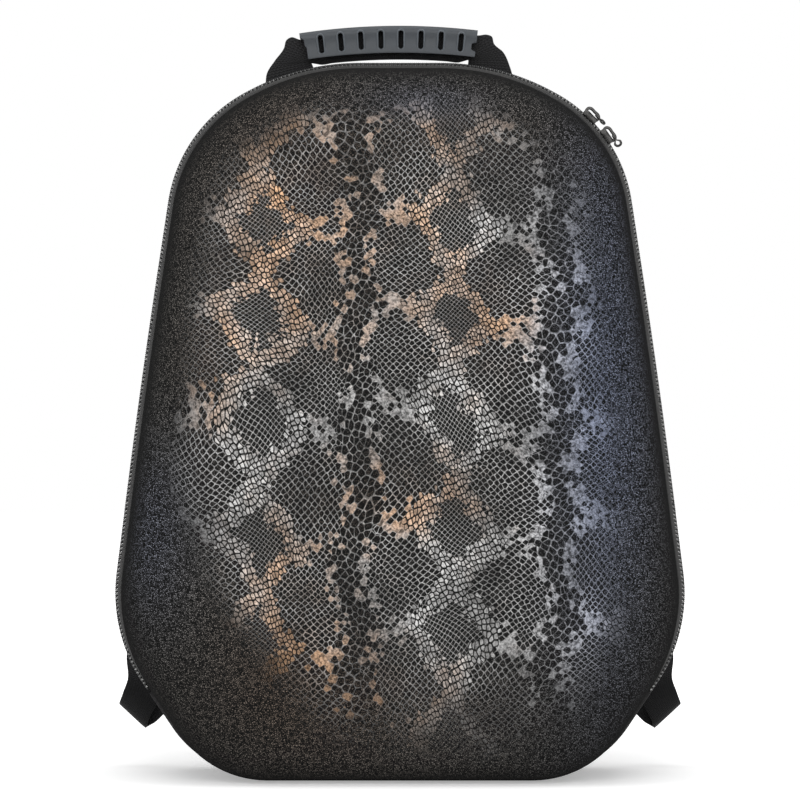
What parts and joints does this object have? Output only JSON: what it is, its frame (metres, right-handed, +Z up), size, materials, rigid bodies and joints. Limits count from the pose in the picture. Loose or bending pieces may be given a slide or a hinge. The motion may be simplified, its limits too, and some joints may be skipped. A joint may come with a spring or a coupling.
{
  "type": "hard-shell game console backpack",
  "caption": "Hard-shell backpack for a game console: domed printed front, flat back, zip round the edge, arched carry handle on top and padded shoulder straps behind.",
  "frame": {"origin": "middle of the base, under the middle of the whole depth, straps included", "axes": "+Z up, -Y out of the printed front, +X to the right of someone looking at the front"},
  "size_m": [0.3838, 0.2193, 0.5055],
  "materials": {
    "printed_cloth": "charcoal cloth on foam board, foil snakeskin print in copper, silver and blue-grey",
    "plain_cloth": "dark woven polyester on foam board",
    "zip_tape": "woven zip tape",
    "zip_coil": "glossy black coil teeth",
    "gunmetal": "dark plated metal",
    "black_webbing": "ribbed black webbing",
    "grip_plastic": "moulded blue-grey plastic, fine grain",
    "pad_cloth": "black cloth over foam padding",
    "buckle_plastic": "black moulded plastic"
  },
  "bodies": {
    "bag": {"front_shell": "printed_cloth", "back_shell": "plain_cloth", "zip_tape_front": "zip_tape", "zip_tape_back": "zip_tape", "zip_teeth": "zip_coil", "hinge_gusset": "plain_cloth", "zip_slider_upper": "gunmetal", "zip_slider_lower": "gunmetal", "handle_webbing": "black_webbing", "handle_grip": "grip_plastic", "shoulder_pad_left": "pad_cloth", "shoulder_pad_right": "pad_cloth", "ladder_lock_left": "buckle_plastic", "ladder_lock_right": "buckle_plastic", "strap_webbing_left": "black_webbing", "strap_webbing_right": "black_webbing"},
    "upper_pull": {"zip_pull_upper": "gunmetal"},
    "lower_pull": {"zip_pull_lower": "gunmetal"}
  },
  "joints": [
    {"name": "upper_pull_swing", "type": "hinge", "parent": "bag", "child": "upper_pull", "pos_m": [0.13189, 0.0015, 0.44436], "axis": [0, -1, 0], "range_deg": [0, 140]},
    {"name": "lower_pull_swing", "type": "hinge", "parent": "bag", "child": "lower_pull", "pos_m": [0.14307, 0.0015, 0.43053], "axis": [0, -1, 0], "range_deg": [0, 140]}
  ]
}
